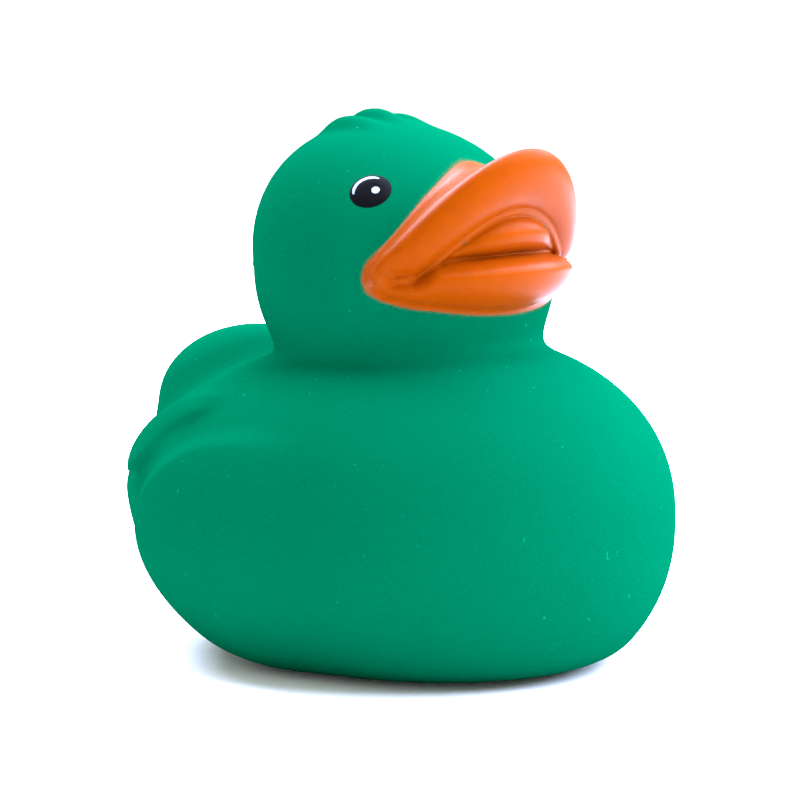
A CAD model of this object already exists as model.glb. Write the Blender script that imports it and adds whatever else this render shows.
import bpy
import bmesh
import math
import numpy as np
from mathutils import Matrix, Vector


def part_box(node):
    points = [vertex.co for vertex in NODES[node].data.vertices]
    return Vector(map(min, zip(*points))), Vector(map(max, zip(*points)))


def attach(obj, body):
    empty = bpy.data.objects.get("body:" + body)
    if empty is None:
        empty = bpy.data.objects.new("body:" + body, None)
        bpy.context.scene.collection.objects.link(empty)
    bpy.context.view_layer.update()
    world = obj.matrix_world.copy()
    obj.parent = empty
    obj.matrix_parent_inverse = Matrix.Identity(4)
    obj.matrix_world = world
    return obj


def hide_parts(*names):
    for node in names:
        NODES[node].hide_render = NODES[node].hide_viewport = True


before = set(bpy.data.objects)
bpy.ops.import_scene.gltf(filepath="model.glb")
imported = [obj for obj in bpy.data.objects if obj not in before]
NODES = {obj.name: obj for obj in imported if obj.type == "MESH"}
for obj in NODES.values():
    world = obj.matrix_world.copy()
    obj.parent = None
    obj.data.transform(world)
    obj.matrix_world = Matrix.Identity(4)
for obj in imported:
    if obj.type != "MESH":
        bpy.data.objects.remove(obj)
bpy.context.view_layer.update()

# Shapes are worked out in design millimetres and scaled to metres by the frame's own length.
DESIGN_LENGTH = 84.0
shell_low, shell_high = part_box("body_shell")
MM = (shell_high.x - shell_low.x) / DESIGN_LENGTH
flange_low, flange_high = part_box("squeaker_housing")
SQUEAKER_X = (flange_low.x + flange_high.x) / 2 / MM

# --- body ---
WAIST = 21.0
HALF_LENGTH = 42.0
HALF_WIDTH = 36.0
BODY_RISE = 25.3
BODY_SLOPE = 0.085          # the chest stands higher than the back
BODY_DROP = 28.2
BODY_FULLNESS = 2.12
BODY_SCALE = 30.0           # turns the body's own measure into about millimetres
SLOPE_REACH = 40.0
BASE_LEAD = 4.2
BASE_LEAD_FADE = 1.5
BASE_LEAD_LIMIT = 1.3
BASE_EDGE = 4.0

# --- head and neck ---
HEAD_CENTRE = (1.0, 0.0, 55.9)
HEAD_RADII = (21.6, 21.6, 20.8)
HEAD_FULLNESS = 2.04
BROW_LEAN = 0.19            # how much the forehead slopes back
BROW_LEAN_REACH = 25.0
NECK_CENTRE = (2.2, 0.0, 46.0)
NECK_RADII = (16.2, 16.6, 12.0)

# --- rear lobes, each as centre, half axes, fullness and tilt ---
TAIL = ((-30.7, 0.0, 33.3), (12.7, 16.0, 11.5), 2.05, -9.0)
RUMP = ((-24.3, 0.0, 22.6), (18.2, 27.2, 12.5), 2.0, 0.0)

# --- wings, as side outlines (centre x, centre z, half length, half height, pitch) and height ---
WING = ((4.0, 17.0, 28.0, 19.5, 0.0), 1.7)
WING_EDGE = 3.2             # width of the wing's rounded edge
WING_FADE = (-2.0, 14.0)    # where the wing melts into the chest
FEATHER = ((-15.0, 32.2, 12.5, 5.6, 14.0), 1.9)
FEATHER_EDGE = 1.2
FEATHER_FADE = (-14.0, -5.0)
FEATHER_HOLLOW = 7.5        # how far in from its rim the feather is dished

# --- tuft ---
RIDGE_PITCH = 4.6
RIDGE_CENTRE = (-5.0, 0.0, 75.7)
RIDGE_DROP = 0.9            # how much lower the outer ridges lie
RIDGE_RADII = (4.8, 2.3, 2.6)

# --- bill, in distance from the head's axis and height ---
CORNER_BEARING = 58.0
RIM_CORNER = (22.2, 58.8)
RIM_TIP = (25.6, 74.9)
RIM_LEAN = 1.5              # how upright the upper bill's face stays near its rim
RIM_SWELL = 0.45            # powers that shape each line from the mouth's corner to straight ahead
TIP_CLIMB = 1.3
BROW_CLIMB = 0.75
ROOF_CLIMB = 1.2
LIP_SWELL = 0.6
CHIN_FALL = 0.7
LEAST_SHARE = 0.02
RIM_DROP = (0.5, 0.28)      # from the rim's top to where it reaches furthest: a part, and a share of the face
FACE_LEAST = 1.0
BACK_LIMIT = 1.2
BACK_SCALE = 0.9
ROOF_RADIUS = 20.9
ROOF_HEIGHT = (56.2, 65.1)  # of the crease in the roof of the mouth, at the corner and ahead
ROOF_START = 0.42           # share at which that crease starts to rise
BROW_RADIUS = 13.5
BROW_HEIGHT = (58.3, 70.8)
LIP_TOP = (57.2, 59.0)
LIP_RADIUS = (22.1, 25.2)
LIP_ROOT = 18.5
LIP_CROWN = (0.7, 2.3)      # least and most height of the lip's rounded top
CROWN_SHARE = 0.45
CHIN_HEIGHT = (54.2, 50.9)
TONGUE_ROOT = 17.0
TONGUE_BACK = (0.5, 2.9, 1.6)   # how far it lies behind the lips: at the corner, between, and ahead
TONGUE_MIDDLE = (0.3, 0.6)  # shares between which it sinks back
TONGUE_AHEAD = (0.75, 1.0)  # shares between which it comes forward again
TONGUE_SPARE = 0.5          # how far it reaches into the roof and the lip
TONGUE_LEAST = 1.7
BEAD_RADIUS = 0.6
BEAD_LEAD = 1.0             # how far it stands in front of the crease
BEAD_GROWTH = 0.2           # share over which it grows to its full size

# --- how softly the forms melt together ---
RUMP_BLEND = 1.2
TAIL_BLEND = 4.0
WING_BLEND = 0.8
NECK_BLEND = 2.2
HEAD_BLEND = 3.5
TUFT_BLEND = 1.5
GROOVE_BLEND = 0.4
RIM_BLEND = 1.6
CORNER_BLEND = 2.5
BILL_BLEND = (0.4, 1.8)     # at the bill's face, and how much more at its back
BILL_TURN = 1.5             # distance either side of the rim over which that changes
LIP_BLEND = (0.5, 2.2)      # ahead, and how much more at the mouth's corner
LIP_MELT = 0.3
TONGUE_BLEND = (0.3, 1.6)
TONGUE_MELT = 0.25
BEAD_BLEND = 0.4

# --- meshing ---
TINY = 1e-12
PROBE = 0.02
LEAST_SLOPE = 0.2
LONGEST_MOVE = 0.4
DUCK_LOW = (-46.0, -39.0, -2.0)
DUCK_HIGH = (46.0, 39.0, 81.0)
BILL_LOW = (6.0, -24.0, 47.0)
BILL_HIGH = (29.0, 24.0, 78.0)
SKIN_STEP = 0.58
CAVITY_STEP = 1.3
COAT_STEP = 0.33
ROUND_SEGMENTS = 96
SHARP_ANGLE = 50.0

# --- walls and paint ---
WALL = 2.2
CAVITY_TAIL_BLEND = 2.0
CAVITY_BLEND = 1.0
BOSS_RADIUS = 11.8
BOSS_TOP = 3.8
RECESS_RADIUS = 9.4
RECESS_DEPTH = 1.6
HOLE_RADIUS = 6.0
COAT_MARGIN = 0.65          # how far the paint runs past the bill's own form
COAT_SINK = 1.1             # the skin under the paint is this much lower
SINK_START = 0.3            # how far inside the paint's edge the skin starts to sink
SINK_WIDTH = 0.5
COAT_PROUD = 0.03
COAT_DEPTH = 0.15

# --- eyes ---
EYE_BEARING = 61.5
EYE_RISE = 36.0
EYE_RADII = (3.0, 2.75)
EYE_ROLL = 24.0
EYE_DOME = 0.16
EYE_DOME_POWER = 4
PRINT_LIFT = 0.03
PRINT_DEPTH = 0.12
EYE_RINGS = 8
EYE_SEGMENTS = 64
GLINT_PLACE = (0.7, -0.3)
GLINT_RADIUS = 0.58
ARC_SHARE = 0.8
ARC_WIDTH = 0.5
ARC_FROM = 42.0
ARC_TO = 172.0
ARC_STEPS = 40
ARC_ROWS = 3
ARC_TAPER = 4
ARC_LEAST = 0.02

# --- colours and finishes; a grain is its features per millimetre, detail and height ---
VINYL = (0.0, 0.088, 0.036)
VINYL_DEEP = (0.0, 0.080, 0.032)
VINYL_SPECK = (0.001, 0.13, 0.065)
VINYL_ROUGHNESS = 0.5
VINYL_GRAIN = (2.2, 3.0, 0.02)
SHADE_SCALE = 0.09
SPECK_SCALE = 1.1
SPECK_LEVEL = (0.84, 0.87)
SPRAY_SCALE = 6.0
SPRAY_REACH = 0.6           # how far past the paint its spray goes
SPRAY_DENSITY = 0.36
SPRAY_LEVEL = (0.75, 0.95)
PAINT = (0.25, 0.038, 0.0)
PAINT_DEEP = (0.20, 0.030, 0.0005)
PAINT_EDGE = (0.17, 0.062, 0.016)
PAINT_SHEEN = (1.0, 0.6, 0.2)
PAINT_ROUGHNESS = 0.32
PAINT_GLOSS = 0.06
PAINT_GRAIN = (3.0, 3.0, 0.025)
PAINT_SHADE_SCALE = 0.5
DUST_REACH = 0.8
DUST_DENSITY = 0.42
DUST_LEVEL = (0.75, 1.1)
PLAIN_GRAIN = (2.0, 2.0, 0.02)
# colour, roughness and gloss
BLACK_PRINT = ((0.002, 0.002, 0.0025), 0.35, 0.03)
WHITE_PRINT = ((0.26, 0.30, 0.32), 0.4, 0.08)
FLOOR = ((0.93, 0.93, 0.93), 0.9, 0.5)
SQUEAKER_FINISHES = {
    "squeaker_housing": ("squeaker_plastic", (0.78, 0.78, 0.74), 0.4),
    "reed_seat": ("seat_plastic", (0.74, 0.74, 0.7), 0.4),
    "reed_clamp": ("clamp_plastic", (0.74, 0.74, 0.7), 0.4),
    "reed": ("reed_film", (0.7, 0.68, 0.62), 0.25),
}

# --- studio ---
LOOK_HEIGHT = 35.0
FLOOR_SIZE = 12.0
CAMERA_AZIMUTH = 45.0
CAMERA_ELEVATION = 8.0
CAMERA_DISTANCE = 500.0
CAMERA_LENS = 155.25
CAMERA_SHIFT = 9 / 800
CAMERA_CLIP = 0.01
SENSOR_WIDTH = 36.0
WORLD_STRENGTH = 1.12
# size, power, azimuth, elevation, distance and colour
KEY_LIGHT = (1.1, 33.0, 145, 52, 0.65, (0.9, 1.0, 1.5))
BACK_LIGHT = (0.6, 13.0, 258, 52, 0.65, (0.9, 1.0, 1.4))


def smooth_min(a, b, k):
    h = np.clip(0.5 + 0.5 * (b - a) / k, 0, 1)
    return b + (a - b) * h - k * h * (1 - h)


def smooth_max(a, b, k):
    return -smooth_min(-a, -b, k)


def turned(x, z, degrees):
    a = math.radians(degrees)
    return x * math.cos(a) + z * math.sin(a), -x * math.sin(a) + z * math.cos(a)


def oval(x, y, z, centre, radii, power=2.0):
    """About the distance to an ellipsoid, or to a fuller one when power is above 2."""
    u = np.abs((x - centre[0]) / radii[0])
    v = np.abs((y - centre[1]) / radii[1])
    w = np.abs((z - centre[2]) / radii[2])
    k = (u ** power + v ** power + w ** power + TINY) ** (1 / power)
    return (k - 1) * min(radii)


def body(x, y, z):
    drop = np.clip((WAIST - z) / WAIST, 0, BASE_LEAD_LIMIT)
    lead = BASE_LEAD * drop ** BASE_LEAD_FADE
    above = z > WAIST
    slope = BODY_SLOPE * np.clip(x, -SLOPE_REACH, SLOPE_REACH)
    half_height = np.where(above, BODY_RISE + slope, BODY_DROP)
    power = np.where(above, BODY_FULLNESS, 2.0)
    plan = ((x - lead) / HALF_LENGTH) ** 2 + (y / HALF_WIDTH) ** 2
    side = np.abs((z - WAIST) / half_height)
    return ((plan ** (power / 2) + side ** power + TINY) ** (1 / power) - 1) * BODY_SCALE


def head(x, y, z):
    lean = BROW_LEAN * np.clip(z - HEAD_CENTRE[2], 0, BROW_LEAN_REACH)
    return oval(x + lean, y, z, HEAD_CENTRE, HEAD_RADII, HEAD_FULLNESS)


def bill_frame(x, y):
    """Distance from the head's axis, and a share that is 1 straight ahead and 0 at the mouth's corner."""
    ahead = x - HEAD_CENTRE[0]
    distance = np.hypot(ahead, y)
    bearing = np.degrees(np.arctan2(np.abs(y), ahead))
    share = np.cos(np.radians(90 * np.clip(bearing / CORNER_BEARING, 0, 1)))
    past = np.radians(bearing - CORNER_BEARING) * RIM_CORNER[0]
    return distance, np.maximum(share, LEAST_SHARE), past


def between(ends, share):
    return ends[0] + (ends[1] - ends[0]) * share


def bowed(distance, z, middle, reach, rise):
    """A rounded bulge: an ellipse in distance and height about a middle point."""
    u = np.maximum(distance - middle[0], 0) / reach
    v = (z - middle[1]) / rise
    return (np.sqrt(u * u + v * v + TINY) - 1) * np.minimum(reach, rise)


def ease(t):
    t = np.clip(t, 0, 1)
    return t * t * (3 - 2 * t)


def roof_line(share):
    climb = np.clip((share - ROOF_START) / (1 - ROOF_START), 0, 1)
    return between(ROOF_HEIGHT, climb ** ROOF_CLIMB)


def groove_line(share):
    return smooth_min(between(LIP_TOP, share), roof_line(share), GROOVE_BLEND)


def upper_bill(x, y, z):
    distance, share, past = bill_frame(x, y)
    rim = between((RIM_CORNER[0], RIM_TIP[0]), share ** RIM_SWELL)
    top = between((RIM_CORNER[1], RIM_TIP[1]), share ** TIP_CLIMB)
    roof = roof_line(share)
    middle = top - RIM_DROP[0] - RIM_DROP[1] * (top - roof)
    rise = np.where(z > middle, RIM_LEAN * (top - middle), np.maximum(middle - roof, FACE_LEAST))
    front = bowed(distance, z, (ROOF_RADIUS, middle), rim - ROOF_RADIUS, rise)
    brow = between(BROW_HEIGHT, share ** BROW_CLIMB)
    along = np.clip((distance - BROW_RADIUS) / (rim - BROW_RADIUS), 0, BACK_LIMIT)
    back = (z - brow - (top - brow) * along ** 2) * BACK_SCALE
    return smooth_max(smooth_max(front, back, RIM_BLEND), past, CORNER_BLEND), back - front


def lower_bill(x, y, z):
    distance, share, past = bill_frame(x, y)
    groove = groove_line(share)
    chin = between(CHIN_HEIGHT, share ** CHIN_FALL)
    crown = np.clip(CROWN_SHARE * (groove - chin), *LIP_CROWN)
    middle = groove - crown
    reach = between(LIP_RADIUS, share ** LIP_SWELL) - LIP_ROOT
    rise = np.where(z > middle, crown, middle - chin)
    return smooth_max(bowed(distance, z, (LIP_ROOT, middle), reach, rise), past, CORNER_BLEND)


def tongue(x, y, z):
    """The floor of the mouth, near the lips at the corners and set back furthest between there and ahead."""
    distance, share, past = bill_frame(x, y)
    low = groove_line(share)
    high = roof_line(share)
    middle = ease((share - TONGUE_MIDDLE[0]) / (TONGUE_MIDDLE[1] - TONGUE_MIDDLE[0]))
    ahead = ease((share - TONGUE_AHEAD[0]) / (TONGUE_AHEAD[1] - TONGUE_AHEAD[0]))
    back = between((between(TONGUE_BACK[:2], middle), TONGUE_BACK[2]), ahead)
    lip = between(LIP_RADIUS, share ** LIP_SWELL)
    reach = lip - back - TONGUE_ROOT
    rise = np.maximum((high - low) / 2 + TONGUE_SPARE, TONGUE_LEAST * (1 - middle))
    mound = bowed(distance, z, (TONGUE_ROOT, (low + high) / 2), reach, rise)
    return smooth_max(mound, past, CORNER_BLEND)


def bead(x, y, z):
    """The thin welt along the crease in the roof of the mouth."""
    distance, share, _ = bill_frame(x, y)
    radius = BEAD_RADIUS * ease((share - ROOF_START) / BEAD_GROWTH)
    return np.hypot(distance - ROOF_RADIUS - BEAD_LEAD, z - roof_line(share)) - radius


def inside_edge(x, z, outline):
    """How far a point on the duck's side lies inside a wing's outline."""
    centre_x, centre_z, half_length, half_height, pitch = outline
    u, w = turned(x - centre_x, z - centre_z, pitch)
    return (1 - np.hypot(u / half_length, w / half_height)) * half_height


def wing_height(x, z):
    inside = inside_edge(x, z, WING[0])
    fade = ease((WING_FADE[1] - x) / (WING_FADE[1] - WING_FADE[0]))
    return WING[1] * ease(inside / WING_EDGE) * fade


def feather_height(x, z):
    inside = inside_edge(x, z, FEATHER[0])
    fade = ease((FEATHER_FADE[1] - x) / (FEATHER_FADE[1] - FEATHER_FADE[0]))
    covered = ease(inside_edge(x, z, WING[0]) / WING_EDGE + 1)
    rim = ease(inside / FEATHER_EDGE + 1) * (1 - ease(inside / FEATHER_HOLLOW))
    return FEATHER[1] * rim * fade * (1 - covered)


def rear_lobe(x, y, z, lobe):
    centre, radii, power, tilt = lobe
    u, w = turned(x - centre[0], z - centre[2], tilt)
    return oval(u, y, w, (0, 0, 0), radii, power)


def tuft(x, y, z):
    outer = oval(x, y - RIDGE_PITCH, z + RIDGE_DROP, RIDGE_CENTRE, RIDGE_RADII)
    return np.minimum(oval(x, y, z, RIDGE_CENTRE, RIDGE_RADII), outer)


def lip_blend(share):
    """How softly the two lips melt together, more so towards the mouth's corner."""
    return LIP_BLEND[0] + LIP_BLEND[1] * ease((LIP_MELT - share) / LIP_MELT)


def duck(x, y, z):
    """Distance in millimetres from the duck's skin, negative inside."""
    y = np.abs(y)
    trunk = body(x, y, z)
    shape = smooth_min(trunk, rear_lobe(x, y, z, RUMP), RUMP_BLEND)
    shape = smooth_min(shape, rear_lobe(x, y, z, TAIL), TAIL_BLEND)
    shape = smooth_min(shape, trunk - feather_height(x, z), WING_BLEND)
    shape = smooth_min(shape, trunk - wing_height(x, z), WING_BLEND)
    shape = smooth_min(shape, oval(x, y, z, NECK_CENTRE, NECK_RADII), NECK_BLEND)
    shape = smooth_min(shape, head(x, y, z), HEAD_BLEND)
    shape = smooth_min(shape, tuft(x, y, z), TUFT_BLEND)
    upper, towards_back = upper_bill(x, y, z)
    turn = np.clip((towards_back + BILL_TURN) / (2 * BILL_TURN), 0, 1)
    shape = smooth_min(shape, upper, BILL_BLEND[0] + BILL_BLEND[1] * turn)
    _, share, _ = bill_frame(x, y)
    shape = smooth_min(shape, lower_bill(x, y, z), lip_blend(share))
    melt = ease((LIP_MELT - share) / TONGUE_MELT)
    shape = smooth_min(shape, tongue(x, y, z), TONGUE_BLEND[0] + TONGUE_BLEND[1] * melt)
    shape = smooth_min(shape, bead(x, y, z), BEAD_BLEND)
    return smooth_max(shape, -z, BASE_EDGE)


def bill(x, y, z):
    """Distance from the painted forms of the bill."""
    y = np.abs(y)
    upper, _ = upper_bill(x, y, z)
    _, share, _ = bill_frame(x, y)
    lips = smooth_min(upper, lower_bill(x, y, z), lip_blend(share))
    return np.minimum(lips, tongue(x, y, z))


# --- surfaces from fields ---
def normals_of(field, points):
    """Unit normals of a field at points, and the field's slope there."""
    columns = []
    for axis in range(3):
        step = np.zeros(3)
        step[axis] = PROBE
        columns.append(field(*(points + step).T) - field(*(points - step).T))
    slope = np.stack(columns, axis=1) / (2 * PROBE)
    length = np.linalg.norm(slope, axis=1, keepdims=True)
    return slope / np.maximum(length, TINY), np.maximum(length, LEAST_SLOPE)


def settled(field, points, rounds=3):
    """Points moved on to the field's surface."""
    for _ in range(rounds):
        normal, length = normals_of(field, points)
        move = np.clip(field(*points.T)[:, None] / length, -LONGEST_MOVE, LONGEST_MOVE)
        points = points - normal * move
    return points


def sampled(field, low, high, step):
    """The field on a grid that is symmetrical about the middle plane, and the grid's corner."""
    half = math.ceil(high[1] / step)
    xs = np.arange(low[0], high[0] + step, step)
    ys = np.arange(0, half + 1) * step
    zs = np.arange(low[2], high[2] + step, step)
    grid = np.meshgrid(xs, ys, zs, indexing="ij")
    values = field(*grid)
    values = np.concatenate([values[:, :0:-1], values], axis=1)
    return values, np.array([low[0], -half * step, low[2]])


def surface_net(field, low, high, step):
    """Vertices and quads of a field's surface: one vertex for each grid cell that the surface crosses."""
    values, corner = sampled(field, low, high, step)
    inside = values < 0
    shape = values.shape
    total = np.zeros(shape + (3,))
    count = np.zeros(shape)
    crossings = []
    for axis in range(3):
        first = [slice(None)] * 3
        second = [slice(None)] * 3
        first[axis] = slice(0, -1)
        second[axis] = slice(1, None)
        first, second = tuple(first), tuple(second)
        cells = np.argwhere(inside[first] != inside[second])
        others = [other for other in range(3) if other != axis]
        for other in others:
            cells = cells[(cells[:, other] > 0) & (cells[:, other] < shape[other] - 1)]
        ends = cells.copy()
        ends[:, axis] += 1
        a = values[tuple(cells.T)]
        b = values[tuple(ends.T)]
        place = cells.astype(float)
        place[:, axis] += a / (a - b)
        ring = []
        for back_u, back_v in ((0, 0), (1, 0), (1, 1), (0, 1)):
            cell = cells.copy()
            cell[:, others[0]] -= back_u
            cell[:, others[1]] -= back_v
            np.add.at(total, tuple(cell.T), place)
            np.add.at(count, tuple(cell.T), 1)
            ring.append(cell)
        crossings.append((ring, (a < 0) != (axis == 1)))
    used = count > 0
    index = np.full(shape, -1)
    index[used] = np.arange(used.sum())
    points = total[used] / count[used][:, None] * step + corner
    quads = []
    for ring, forward in crossings:
        face = np.stack([index[tuple(cell.T)] for cell in ring], axis=1)
        face[~forward] = face[~forward][:, ::-1]
        quads.append(face)
    return points, np.concatenate(quads)


def make_mesh(name, points, faces):
    """A smooth mesh from points in design millimetres and faces that all have the same number of corners."""
    mesh = bpy.data.meshes.new(name)
    sides = faces.shape[1]
    mesh.vertices.add(len(points))
    mesh.vertices.foreach_set("co", (points * MM).astype(np.float32).ravel())
    mesh.loops.add(faces.size)
    mesh.loops.foreach_set("vertex_index", faces.astype(np.int32).ravel())
    mesh.polygons.add(len(faces))
    mesh.polygons.foreach_set("loop_start", np.arange(0, faces.size, sides, dtype=np.int32))
    mesh.update(calc_edges=True)
    mesh.validate()
    mesh.shade_smooth()
    return mesh


def make_object(name, mesh, body, material, nodes):
    piece = bpy.data.objects.new(name, mesh)
    bpy.context.scene.collection.objects.link(piece)
    mesh.materials.clear()
    mesh.materials.append(material)
    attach(piece, body)
    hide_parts(*nodes)


def corners_of(mesh):
    """A mesh's vertices, in design millimetres."""
    flat = np.empty(len(mesh.vertices) * 3, np.float32)
    mesh.vertices.foreach_get("co", flat)
    return flat.reshape(-1, 3).astype(float) / MM


def write_attribute(mesh, name, values):
    attribute = mesh.attributes.new(name, "FLOAT", "POINT")
    attribute.data.foreach_set("value", values.astype(np.float32))


def cylinder_mesh(name, radius, low, high):
    ring = np.radians(np.arange(ROUND_SEGMENTS) * 360 / ROUND_SEGMENTS)
    mesh = bpy.data.meshes.new(name)
    build = bmesh.new()
    circles = []
    for height in (low, high):
        points = [(SQUEAKER_X + radius * math.cos(a), radius * math.sin(a), height) for a in ring]
        circles.append([build.verts.new(Vector(p) * MM) for p in points])
    build.faces.new(reversed(circles[0]))
    build.faces.new(circles[1])
    for index in range(ROUND_SEGMENTS):
        after = (index + 1) % ROUND_SEGMENTS
        build.faces.new((circles[0][index], circles[0][after], circles[1][after], circles[1][index]))
    build.to_mesh(mesh)
    build.free()
    return mesh


def cut_away(mesh, tools):
    """The mesh with closed tool meshes removed from it."""
    target = bpy.data.objects.new("cut_target", mesh)
    bpy.context.scene.collection.objects.link(target)
    helpers = []
    for tool in tools:
        helper = bpy.data.objects.new("cut_tool", tool)
        bpy.context.scene.collection.objects.link(helper)
        cut = target.modifiers.new("cut", "BOOLEAN")
        cut.operation = "DIFFERENCE"
        cut.solver = "MANIFOLD"
        cut.object = helper
        helpers.append(helper)
    ready = target.evaluated_get(bpy.context.evaluated_depsgraph_get())
    result = bpy.data.meshes.new_from_object(ready)
    for helper in helpers + [target]:
        bpy.data.objects.remove(helper)
    return result


# --- skin ---
def cavity(x, y, z):
    """The air space inside the duck, with the thick ring round the squeaker left out of it."""
    y = np.abs(y)
    space = smooth_min(body(x, y, z), oval(x, y, z, NECK_CENTRE, NECK_RADII), NECK_BLEND)
    space = smooth_min(space, head(x, y, z), HEAD_BLEND)
    space = smooth_min(space, rear_lobe(x, y, z, TAIL), CAVITY_TAIL_BLEND)
    ring = smooth_max(np.hypot(x - SQUEAKER_X, y) - BOSS_RADIUS, z - BOSS_TOP, CAVITY_BLEND)
    return smooth_max(smooth_max(space + WALL, WALL - z, CAVITY_BLEND), -ring, CAVITY_BLEND)


def skin_mesh():
    points, quads = surface_net(duck, DUCK_LOW, DUCK_HIGH, SKIN_STEP)
    points = settled(duck, points)
    normal, _ = normals_of(duck, points)
    depth = COAT_SINK * ease((-coat_edge(points) - SINK_START) / SINK_WIDTH)
    skin = make_mesh("skin", points - normal * depth[:, None], quads)
    room, room_quads = surface_net(cavity, DUCK_LOW, DUCK_HIGH, CAVITY_STEP)
    hollow = make_mesh("hollow", settled(cavity, room), room_quads)
    recess = cylinder_mesh("recess", RECESS_RADIUS, -RECESS_DEPTH, RECESS_DEPTH)
    hole = cylinder_mesh("hole", HOLE_RADIUS, -RECESS_DEPTH, 2 * BOSS_TOP)
    cut = cut_away(skin, [hollow, recess, hole])
    cut.name = "duck_skin"
    cut.shade_smooth()
    cut.set_sharp_from_angle(angle=math.radians(SHARP_ANGLE))
    write_attribute(cut, "coat_edge", coat_edge(corners_of(cut)))
    return cut


# --- paint on the bill ---
def coat_edge(points):
    """Distance outside the painted area, negative within it."""
    return bill(*points.T) - COAT_MARGIN


def clipped(points, triangles, values):
    """The part of a triangle mesh where values are below zero, with new points where they cross zero."""
    pairs = {}
    extra = []
    kept = []

    def crossing(a, b):
        key = (a, b) if a < b else (b, a)
        if key not in pairs:
            share = values[key[0]] / (values[key[0]] - values[key[1]])
            extra.append(points[key[0]] + (points[key[1]] - points[key[0]]) * share)
            pairs[key] = len(points) + len(extra) - 1
        return pairs[key]

    within = values[triangles] < 0
    total = within.sum(axis=1)
    kept.extend(triangles[total == 3].tolist())
    cut = (total == 1) | (total == 2)
    for triangle, state in zip(triangles[cut], within[cut]):
        single = bool(state.sum() == 1)
        first = int(np.argmax(state == single))
        a, b, c = (int(triangle[(first + turn) % 3]) for turn in range(3))
        ab, ac = crossing(a, b), crossing(a, c)
        if single:
            kept.append((a, ab, ac))
        else:
            kept.append((ab, b, c))
            kept.append((ab, c, ac))
    return np.concatenate([points, np.array(extra)]), np.array(kept)


def packed(points, faces):
    """Only the points that faces use."""
    used, flat = np.unique(faces, return_inverse=True)
    return points[used], flat.reshape(faces.shape)


def open_edges(triangles):
    """Directed edges that only one triangle has."""
    directed = np.concatenate([triangles[:, [0, 1]], triangles[:, [1, 2]], triangles[:, [2, 0]]])
    size = triangles.max() + 1
    keys = directed[:, 0] * size + directed[:, 1]
    twins = directed[:, 1] * size + directed[:, 0]
    return directed[~np.isin(keys, twins)]


def sheet_solid(outer, inner, triangles):
    """A closed skin between two matching sheets of triangles."""
    count = len(outer)
    rim = open_edges(triangles)
    sides = np.concatenate([
        np.stack([rim[:, 1], rim[:, 0], rim[:, 0] + count], axis=1),
        np.stack([rim[:, 1], rim[:, 0] + count, rim[:, 1] + count], axis=1),
    ])
    faces = np.concatenate([triangles, triangles[:, ::-1] + count, sides])
    return np.concatenate([outer, inner]), faces


def coat_mesh():
    points, quads = surface_net(duck, BILL_LOW, BILL_HIGH, COAT_STEP)
    points = settled(duck, points, 4)
    triangles = np.concatenate([quads[:, [0, 1, 2]], quads[:, [0, 2, 3]]])
    points, triangles = clipped(points, triangles, coat_edge(points))
    points, triangles = packed(points, triangles)
    normal, _ = normals_of(duck, points)
    outer = points + normal * COAT_PROUD
    inner = points - normal * COAT_DEPTH
    solid, faces = sheet_solid(outer, inner, triangles)
    mesh = make_mesh("bill_coat", solid, faces)
    write_attribute(mesh, "coat_edge", coat_edge(np.concatenate([points, points])))
    normals = np.concatenate([normal, -normal])
    mesh.normals_split_custom_set_from_vertices([Vector(n) for n in normals])
    return mesh


# --- eyes ---
def eye_axes(side):
    """Centre of an eye on the head's skin, its outward normal, and its forward and upward directions."""
    bearing = math.radians(EYE_BEARING)
    rise = math.radians(EYE_RISE)
    ahead = math.cos(rise) * math.cos(bearing)
    across = side * math.cos(rise) * math.sin(bearing)
    centre = np.array(HEAD_CENTRE) + np.array([ahead, across, math.sin(rise)]) * HEAD_RADII[0]
    centre = settled(duck, centre[None], 6)[0]
    normal = normals_of(duck, centre[None])[0][0]
    forward = np.cross((0, 0, 1), normal) * -side
    forward /= np.linalg.norm(forward)
    upward = np.cross(forward, normal) * side
    upward *= np.sign(upward[2])
    return centre, normal, forward, upward


def on_eye(side, u, v, lift):
    """Points over an eye from their place along and across its long axis, lifted off the skin."""
    centre, normal, forward, upward = eye_axes(side)
    roll = math.radians(EYE_ROLL)
    along = forward * math.cos(roll) + upward * math.sin(roll)
    across = -forward * math.sin(roll) + upward * math.cos(roll)
    points = centre + u[:, None] * along + v[:, None] * across
    points = settled(duck, points, 5)
    reach = np.clip(np.hypot(u / EYE_RADII[0], v / EYE_RADII[1]), 0, 1)
    dome = EYE_DOME * (1 - reach ** EYE_DOME_POWER)
    normals, _ = normals_of(duck, points)
    return points + normals * (lift + dome)[:, None], points - normals * PRINT_DEPTH


def patch_mesh(name, side, lift, patch):
    u, v, triangles = patch
    outer, inner = on_eye(side, u, v, lift)
    a, b, c = outer[triangles[0]]
    if np.dot(np.cross(b - a, c - a), outer[0] - np.array(HEAD_CENTRE)) < 0:
        triangles = triangles[:, ::-1]
    points, faces = sheet_solid(outer, inner, triangles)
    mesh = make_mesh(name, points, faces)
    mesh.set_sharp_from_angle(angle=math.radians(SHARP_ANGLE))
    return mesh


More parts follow.
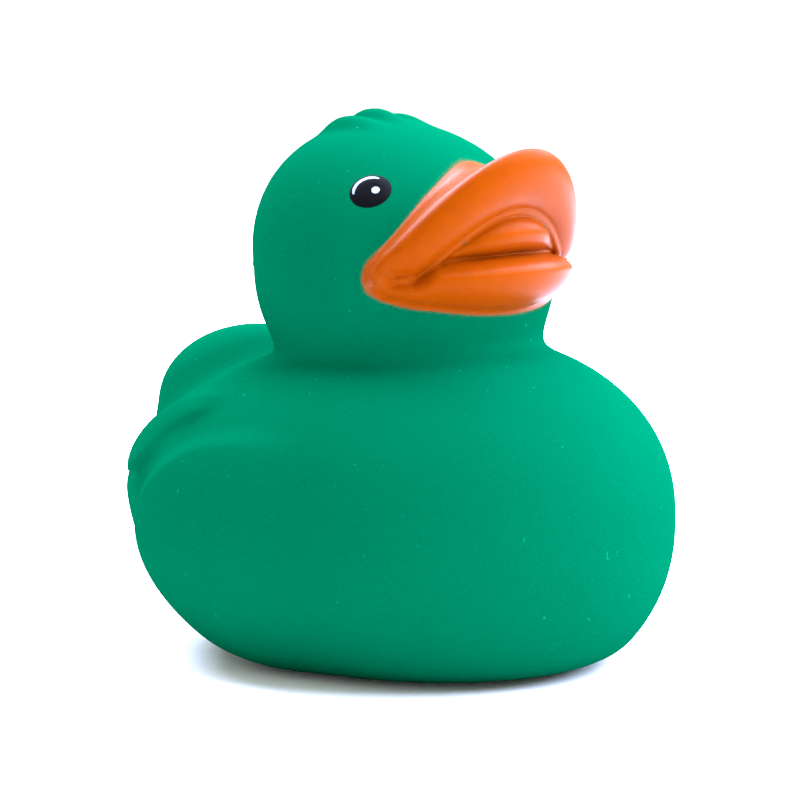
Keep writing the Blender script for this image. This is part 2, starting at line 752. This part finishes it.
def disc(centre_u, centre_v, radius_u, radius_v):
    """A round patch, as places and triangles."""
    u, v, triangles = [centre_u], [centre_v], []
    for ring in range(1, EYE_RINGS + 1):
        share = ring / EYE_RINGS
        for step in range(EYE_SEGMENTS):
            angle = 2 * math.pi * step / EYE_SEGMENTS
            u.append(centre_u + radius_u * share * math.cos(angle))
            v.append(centre_v + radius_v * share * math.sin(angle))
    for step in range(EYE_SEGMENTS):
        after = (step + 1) % EYE_SEGMENTS
        triangles.append((0, 1 + step, 1 + after))
        for ring in range(EYE_RINGS - 1):
            a = 1 + ring * EYE_SEGMENTS
            b = a + EYE_SEGMENTS
            triangles.append((a + step, b + step, b + after))
            triangles.append((a + step, b + after, a + after))
    return np.array(u), np.array(v), np.array(triangles)


def glint_arc():
    """A band inside the eye's edge that tapers to both ends, as places and triangles."""
    share = np.linspace(0, 1, ARC_STEPS)
    angle = np.radians(ARC_FROM + (ARC_TO - ARC_FROM) * share)
    taper = np.clip(1 - (2 * share - 1) ** ARC_TAPER, ARC_LEAST, 1)
    half = ARC_WIDTH / 2 * np.sqrt(taper)
    u, v, triangles = [], [], []
    for row in range(ARC_ROWS + 1):
        offset = half * (2 * row / ARC_ROWS - 1)
        u.append((EYE_RADII[0] * ARC_SHARE + offset) * np.cos(angle))
        v.append((EYE_RADII[1] * ARC_SHARE + offset) * np.sin(angle))
    for row in range(ARC_ROWS):
        for step in range(ARC_STEPS - 1):
            a = row * ARC_STEPS + step
            b = a + ARC_STEPS
            triangles.append((a, b, b + 1))
            triangles.append((a, b + 1, a + 1))
    return np.concatenate(u), np.concatenate(v), np.array(triangles)


def joined(name, meshes):
    build = bmesh.new()
    for mesh in meshes:
        build.from_mesh(mesh)
    result = bpy.data.meshes.new(name)
    build.to_mesh(result)
    build.free()
    return result


# --- materials ---
def new_material(name, colour, roughness, gloss=0.5):
    material = bpy.data.materials.new(name)
    material.use_nodes = True
    tree = material.node_tree
    shader = tree.nodes["Principled BSDF"]
    shader.inputs["Base Color"].default_value = (*colour, 1)
    shader.inputs["Roughness"].default_value = roughness
    shader.inputs["Specular IOR Level"].default_value = gloss
    return material, tree, shader


def add_node(tree, kind, **settings):
    node = tree.nodes.new(kind)
    for key, value in settings.items():
        setattr(node, key, value)
    return node


def noise(tree, scale, detail=2.0):
    """Fine noise in the object's own space, with scale in features per millimetre."""
    place = add_node(tree, "ShaderNodeTexCoord")
    texture = add_node(tree, "ShaderNodeTexNoise")
    texture.inputs["Scale"].default_value = scale / MM
    texture.inputs["Detail"].default_value = detail
    tree.links.new(place.outputs["Object"], texture.inputs["Vector"])
    return texture.outputs["Fac"]


def ramp(tree, source, low, high, out_low=0.0, out_high=1.0):
    node = add_node(tree, "ShaderNodeMapRange")
    node.inputs["From Min"].default_value = low
    node.inputs["From Max"].default_value = high
    node.inputs["To Min"].default_value = out_low
    node.inputs["To Max"].default_value = out_high
    tree.links.new(source, node.inputs["Value"])
    return node.outputs["Result"]


def mixed(tree, factor, colour_a, colour_b):
    """A colour between two, each given as numbers or as a socket."""
    node = add_node(tree, "ShaderNodeMix", data_type="RGBA")
    tree.links.new(factor, node.inputs["Factor"])
    for slot, colour in ((6, colour_a), (7, colour_b)):
        if isinstance(colour, tuple):
            node.inputs[slot].default_value = (*colour, 1)
        else:
            tree.links.new(colour, node.inputs[slot])
    return node.outputs[2]


def added(tree, first, second):
    node = add_node(tree, "ShaderNodeMath", operation="ADD")
    tree.links.new(first, node.inputs[0])
    tree.links.new(second, node.inputs[1])
    return node.outputs[0]


def bumped(tree, shader, grain):
    scale, detail, height = grain
    bump = add_node(tree, "ShaderNodeBump")
    bump.inputs["Strength"].default_value = 1.0
    bump.inputs["Distance"].default_value = height * MM
    tree.links.new(noise(tree, scale, detail), bump.inputs["Height"])
    tree.links.new(bump.outputs["Normal"], shader.inputs["Normal"])


def vinyl_material():
    """Matte green vinyl with a few pale specks, and a fine spray of paint round the bill."""
    material, tree, shader = new_material("green_vinyl", VINYL, VINYL_ROUGHNESS, 0.0)
    shade = mixed(tree, noise(tree, SHADE_SCALE), VINYL_DEEP, VINYL)
    specks = ramp(tree, noise(tree, SPECK_SCALE, 0.0), *SPECK_LEVEL)
    shade = mixed(tree, specks, shade, VINYL_SPECK)
    edge = add_node(tree, "ShaderNodeAttribute", attribute_name="coat_edge")
    near = ramp(tree, edge.outputs["Fac"], 0.0, SPRAY_REACH, SPRAY_DENSITY, 0.0)
    spray = ramp(tree, added(tree, near, noise(tree, SPRAY_SCALE)), *SPRAY_LEVEL)
    shade = mixed(tree, spray, shade, PAINT_EDGE)
    tree.links.new(shade, shader.inputs["Base Color"])
    bumped(tree, shader, VINYL_GRAIN)
    return material


def paint_material():
    """Orange paint with a soft gloss, thin and dusty towards its edge."""
    material, tree, shader = new_material("orange_paint", PAINT, PAINT_ROUGHNESS, PAINT_GLOSS)
    shader.inputs["Specular Tint"].default_value = (*PAINT_SHEEN, 1)
    edge = add_node(tree, "ShaderNodeAttribute", attribute_name="coat_edge")
    thin = ramp(tree, edge.outputs["Fac"], -DUST_REACH, 0.0, 0.0, DUST_DENSITY)
    dust = ramp(tree, added(tree, thin, noise(tree, SPRAY_SCALE)), *DUST_LEVEL)
    shade = mixed(tree, noise(tree, PAINT_SHADE_SCALE), PAINT_DEEP, PAINT)
    shade = mixed(tree, dust, shade, PAINT_EDGE)
    tree.links.new(shade, shader.inputs["Base Color"])
    bumped(tree, shader, PAINT_GRAIN)
    return material


def plain_material(name, colour, roughness, gloss=0.5):
    material, tree, shader = new_material(name, colour, roughness, gloss)
    bumped(tree, shader, PLAIN_GRAIN)
    return material


# --- build ---
vinyl = vinyl_material()
paint = paint_material()
black = plain_material("black_print", *BLACK_PRINT)
white = plain_material("white_print", *WHITE_PRINT)
make_object("duck_skin", skin_mesh(), "duck", vinyl, ["body_shell"])
make_object("bill_coat", coat_mesh(), "duck", paint, ["bill_paint"])
eye = disc(0, 0, *EYE_RADII)
glint = disc(*GLINT_PLACE, GLINT_RADIUS, GLINT_RADIUS)
band = glint_arc()
for side, name in ((-1, "right"), (1, "left")):
    iris = patch_mesh("eye_" + name, side, PRINT_LIFT, eye)
    dot = patch_mesh("dot_" + name, side, 2 * PRINT_LIFT, glint)
    arc = patch_mesh("arc_" + name, side, 2 * PRINT_LIFT, band)
    marks = joined("marks_" + name, [dot, arc])
    make_object("eye_print_" + name, iris, "duck", black, ["eye_black_" + name])
    make_object("eye_marks_" + name, marks, "duck", white, ["eye_white_" + name])

for name, finish in SQUEAKER_FINISHES.items():
    NODES[name].data.materials.clear()
    NODES[name].data.materials.append(plain_material(*finish))

# --- floor, light and camera ---
bpy.ops.mesh.primitive_plane_add(size=FLOOR_SIZE)
floor = bpy.context.object
floor.name = "floor"
floor_finish, _, _ = new_material("floor_finish", *FLOOR)
floor.data.materials.append(floor_finish)


def placed(item, azimuth, elevation, distance):
    """An item set at a distance from the middle of the duck, and turned to face it."""
    a = math.radians(azimuth)
    e = math.radians(elevation)
    out = Vector((math.sin(a) * math.cos(e), -math.cos(a) * math.cos(e), math.sin(e)))
    item.location = Vector((0, 0, LOOK_HEIGHT)) * MM + out * distance
    item.rotation_euler = out.to_track_quat("Z", "Y").to_euler()
    bpy.context.scene.collection.objects.link(item)


def area_light(name, size, power, azimuth, elevation, distance, colour):
    data = bpy.data.lights.new(name, "AREA")
    data.shape = "DISK"
    data.size = size
    data.energy = power
    data.color = colour
    placed(bpy.data.objects.new(name, data), azimuth, elevation, distance)


area_light("key", *KEY_LIGHT)
area_light("back", *BACK_LIGHT)

world = bpy.data.worlds.new("studio")
world.use_nodes = True
background = world.node_tree.nodes["Background"]
background.inputs["Color"].default_value = (1, 1, 1, 1)
background.inputs["Strength"].default_value = WORLD_STRENGTH
bpy.context.scene.world = world
bpy.context.scene.view_settings.view_transform = "Standard"

camera_data = bpy.data.cameras.new("camera")
camera_data.lens = CAMERA_LENS
camera_data.sensor_width = SENSOR_WIDTH
camera_data.shift_y = CAMERA_SHIFT
camera_data.clip_start = CAMERA_CLIP
camera = bpy.data.objects.new("camera", camera_data)
placed(camera, CAMERA_AZIMUTH, CAMERA_ELEVATION, CAMERA_DISTANCE * MM)
bpy.context.scene.camera = camera

bpy.context.view_layer.update()
